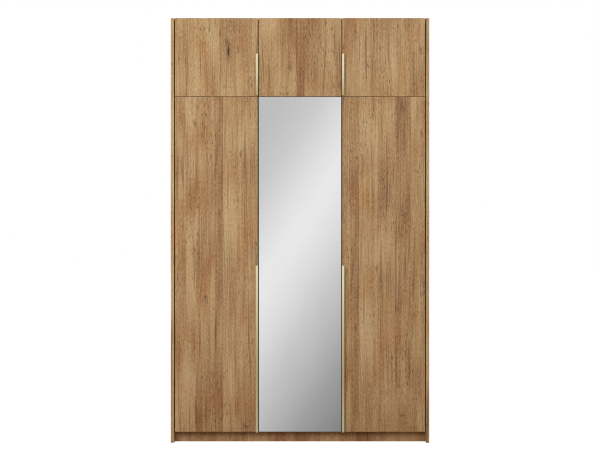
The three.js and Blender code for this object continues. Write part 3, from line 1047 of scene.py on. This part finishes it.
def rail_socket(node, mouth):
    """A socket that holds an end of the rail, on a flange with two screws. mouth is the direction
    along X in which it opens."""
    low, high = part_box(node)
    bm = round_bar(low, high, X, 0.49 * (high.y - low.y), 8)
    opening = [face for face in bm.faces if face.normal[X] * mouth > 0.9]
    bmesh.ops.inset_region(bm, faces=opening, thickness=2.5 * MM, use_even_offset=True)
    pocket = bmesh.ops.extrude_face_region(bm, geom=opening)
    sunk = [item for item in pocket["geom"] if isinstance(item, bmesh.types.BMVert)]
    bmesh.ops.delete(bm, geom=opening, context="FACES")
    bmesh.ops.translate(bm, vec=(-mouth * 10 * MM, 0, 0), verts=sunk)
    wide, tall, screw_out = 3 * MM, 14 * MM, 7 * MM
    base_x = low.x if mouth > 0 else high.x
    flange_x = base_x + mouth * 2 * MM
    ends = sorted((base_x, flange_x))
    flange = round_bar((ends[0], low.y - wide, low.z - tall),
                       (ends[1], high.y + wide, high.z + tall), X, 10 * MM, 6, 0.5 * MM)
    add_shape(bm, new_mesh(flange, "socket_flange"))
    middle_y = (low.y + high.y) / 2
    for z in (low.z - screw_out, high.z + screw_out):
        add_shape(bm, SCREW, facing_matrix((flange_x, middle_y, z), (mouth, 0, 0)), 1)
    finish_piece(bm, node + "_cup", [CHROME, ZINC], "carcass", [node], smooth=40)


def latch_housing(node, plunger):
    """The housing of a push latch, bored for its plunger and screwed under a board."""
    low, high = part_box(node)
    tip_low, tip_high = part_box(plunger)
    centre = (tip_low + tip_high) / 2
    bore_radius = (tip_high.x - tip_low.x) / 2 + 0.4 * MM
    bores = bmesh.new()
    mouth = Vector((centre.x, low.y, centre.z))
    cylinder(bores, mouth, (0, 1, 0), bore_radius, 124 * MM, 28)
    bm = carve(round_bar(low, high, Y, 4 * MM, 4, 0.6 * MM), bores)
    ear_thickness = 3 * MM
    for side in (-1, 1):
        edge = low.x if side < 0 else high.x
        ends = sorted((edge - side * 1 * MM, edge + side * 11 * MM))
        ear = round_bar((ends[0], centre.y + 12 * MM, high.z - ear_thickness),
                        (ends[1], centre.y + 26 * MM, high.z), Z, 4 * MM, 4, 0.4 * MM)
        add_shape(bm, new_mesh(ear, "latch_ear"))
        screw_place = (edge + side * 5.5 * MM, centre.y + 19 * MM, high.z - ear_thickness)
        add_shape(bm, SMALL_SCREW, facing_matrix(screw_place, (0, 0, -1)), 1)
    finish_piece(bm, node + "_case", [GREY_PLASTIC, ZINC], "carcass", [node],
                 smooth=35)


def latch_plunger(node):
    """A sprung rod with a steel tip behind a groove."""
    low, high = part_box(node)
    centre = (low + high) / 2
    radius, length = (high.x - low.x) / 2, high.y - low.y
    neck, groove = 5.2 * MM, 0.5 * MM
    rod = turned([
        (0, -length), (radius, -length), (radius, -6 * MM), (radius - groove, -5.8 * MM),
        (radius - groove, -neck), (radius, -5 * MM), (radius, -1.4 * MM),
        (radius - 0.5 * MM, -0.5 * MM), (radius - 1.5 * MM, 0), (0, 0),
    ], 28)
    bm = bmesh.new()
    add_shape(bm, new_mesh(rod, "rod"), facing_matrix((centre.x, low.y, centre.z), (0, -1, 0)))
    for face in bm.faces:
        if face.calc_center_median().y < low.y + neck:
            face.material_index = 1
    finish_piece(bm, node + "_rod", [GREY_PLASTIC, NICKEL], node, [node],
                 smooth=35)


carcass_boards()
cabinet_caps()
back_nails()
for bay in ALL_BAYS:
    door_leaf(bay)
    for arm in hinge_arms(bay):
        hinge_arm(bay, arm)
        hinge_cup(bay, arm)
        hinge_link(bay, arm)
mirror()
for bay in ("left", "right", "top_left", "top_right"):
    handle(bay)
rail()
rail_socket("rail_socket_left", 1)
rail_socket("rail_socket_right", -1)
for place in ("main", "top"):
    latch_housing(place + "_latch_housing", place + "_latch_plunger")
    latch_plunger(place + "_latch_plunger")


# ---------------------------------------------------------------- studio


def stage_sheet(name, corners, material):
    """A single face that belongs to the studio."""
    bm = bmesh.new()
    bm.faces.new([bm.verts.new(corner) for corner in corners])
    made = bpy.data.objects.new(name, new_mesh(bm, name))
    made.data.materials.append(material)
    bpy.context.scene.collection.objects.link(made)
    return made


def choose(tree, rays, kind, otherwise, chosen):
    """One shader for rays of a kind, such as camera rays, and another one for all the others."""
    return add_node(tree, "ShaderNodeMixShader", {
        0: rays.outputs[kind], 1: otherwise.outputs[0], 2: chosen.outputs[0]})


def set_camera(eye_height, face):
    camera = bpy.data.cameras.new("camera")
    camera.sensor_width = SENSOR_WIDTH
    camera.lens = SENSOR_WIDTH * CAMERA_DISTANCE / VIEW_WIDTH
    camera.shift_y = VIEW_RISE
    holder = bpy.data.objects.new("camera", camera)
    holder.location = (0, face - CAMERA_DISTANCE, eye_height)
    holder.rotation_euler = (math.pi / 2, 0, 0)
    bpy.context.scene.collection.objects.link(holder)
    bpy.context.scene.camera = holder


def set_floor():
    """A pale floor that merges with the background where it is seen, and sends only a little light
    back up."""
    paint, tree, shader = new_surface("floor_paint", 0.9)
    shader.inputs["Base Color"].default_value = (FLOOR_PAINT, FLOOR_PAINT, FLOOR_PAINT, 1)
    shader.inputs["Emission Color"].default_value = (1, 1, 1, 1)
    shader.inputs["Emission Strength"].default_value = FLOOR_GLOW
    away = add_node(tree, "ShaderNodeVectorMath", {0: object_place(tree)}, operation="LENGTH")
    lit = spread(tree, away.outputs["Value"], *FLOOR_SHADE_REACH, smooth=True)
    bounce = mixed(tree, lit, (*FLOOR_BOUNCE, 1), (AIR_LIGHT, AIR_LIGHT, AIR_LIGHT, 1))
    glow = add_node(tree, "ShaderNodeEmission", {"Color": bounce, "Strength": 1.0})
    rays = tree.nodes.new("ShaderNodeLightPath")
    choice = choose(tree, rays, "Is Camera Ray", glow, shader)
    output = next(node for node in tree.nodes if node.type == "OUTPUT_MATERIAL")
    tree.links.new(choice.outputs[0], output.inputs["Surface"])
    half = FLOOR_HALF_WIDTH
    floor = stage_sheet("floor", [
        (-half, -half, 0), (half, -half, 0), (half, half, 0), (-half, half, 0)], paint)
    floor.visible_glossy = False


def hang_card(name, size, y, find_shade):
    """An upright card that glows and that only shiny surfaces see. find_shade gives its shade from
    a place on it."""
    half_width, low, high = size
    paint = bpy.data.materials.new(name)
    paint.use_nodes = True
    tree = paint.node_tree
    tree.nodes.clear()
    output = tree.nodes.new("ShaderNodeOutputMaterial")
    split = add_node(tree, "ShaderNodeSeparateXYZ", {0: object_place(tree)})
    shade = find_shade(tree, split.outputs[X], split.outputs[Z])
    glow = add_node(tree, "ShaderNodeEmission", {"Color": shade, "Strength": 1.0})
    tree.links.new(glow.outputs[0], output.inputs["Surface"])
    card = stage_sheet(name, [
        (-half_width, y, low), (half_width, y, low), (half_width, y, high),
        (-half_width, y, high)], paint)
    card.visible_camera = False
    card.visible_diffuse = False
    card.visible_shadow = False


def set_cards(eye_height, face):
    """A graded card behind the camera for the mirror, whose shade changes along a slope that falls
    to the right, and a wide one behind it for the metal, cool and bright above and warm and dim
    below."""
    slope = math.radians(CARD_SLOPE)
    enlarged = (CAMERA_DISTANCE + CARD_DISTANCE) / CAMERA_DISTANCE
    first, last = CARD_SHADES[0][0], CARD_SHADES[-1][0]
    stops = [((place - first) / (last - first), shade) for place, shade in CARD_SHADES]

    def graded(tree, x, z):
        rise = calculate(tree, "SUBTRACT", z, eye_height)
        along = calculate(tree, "SUBTRACT",
                          calculate(tree, "MULTIPLY", x, math.cos(slope) / enlarged),
                          calculate(tree, "MULTIPLY", rise, math.sin(slope) / enlarged))
        return ramp(tree, spread(tree, along, first, last), stops)

    def cool_to_warm(tree, x, z):
        return ramp(tree, spread(tree, z, METAL_CARD[1], METAL_CARD[2]), METAL_SHADES)

    hang_card("graded_card", GRADED_CARD, face - CARD_DISTANCE, graded)
    hang_card("metal_card", METAL_CARD, face - CARD_DISTANCE - METAL_CARD_BEHIND, cool_to_warm)


def set_key():
    """One large soft lamp in front of the doors, high and to the left."""
    lamp = bpy.data.lights.new("key", "AREA")
    lamp.shape = "SQUARE"
    lamp.size = KEY_SIZE
    lamp.energy = KEY_POWER
    made = bpy.data.objects.new("key", lamp)
    made.location = KEY_PLACE
    aim = Vector(KEY_TARGET) - Vector(KEY_PLACE)
    made.rotation_euler = aim.to_track_quat("-Z", "Y").to_euler()
    made.visible_glossy = False
    bpy.context.scene.collection.objects.link(made)


def set_air():
    """White where the camera looks past the wardrobe, softer as light on it. What shines sees a
    light room over a pale floor."""
    world = bpy.data.worlds.new("studio_air")
    bpy.context.scene.world = world
    world.use_nodes = True
    tree = world.node_tree
    tree.nodes.clear()
    output = tree.nodes.new("ShaderNodeOutputWorld")
    rise = add_node(tree, "ShaderNodeSeparateXYZ", {0: object_place(tree)}).outputs[Z]
    room = ramp(tree, spread(tree, rise, -0.5, 0.5), ROOM_SHADES)
    white = (1, 1, 1, 1)
    seen = add_node(tree, "ShaderNodeBackground", {"Color": white, "Strength": 1.0})
    lit = add_node(tree, "ShaderNodeBackground", {"Color": white, "Strength": AIR_LIGHT})
    mirrored = add_node(tree, "ShaderNodeBackground", {"Color": room, "Strength": 1.0})
    rays = tree.nodes.new("ShaderNodeLightPath")
    around = choose(tree, rays, "Is Glossy Ray", lit, mirrored)
    choice = choose(tree, rays, "Is Camera Ray", around, seen)
    tree.links.new(choice.outputs[0], output.inputs["Surface"])


EYE_HEIGHT = (CAD_BOX[0].z + CAD_BOX[1].z) / 2
DOOR_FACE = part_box("left_door")[0].y
set_camera(EYE_HEIGHT, DOOR_FACE)
set_floor()
set_cards(EYE_HEIGHT, DOOR_FACE)
set_air()
set_key()
bpy.context.scene.view_settings.view_transform = "Standard"
bpy.context.scene.cycles.filter_width = EDGE_SOFTNESS
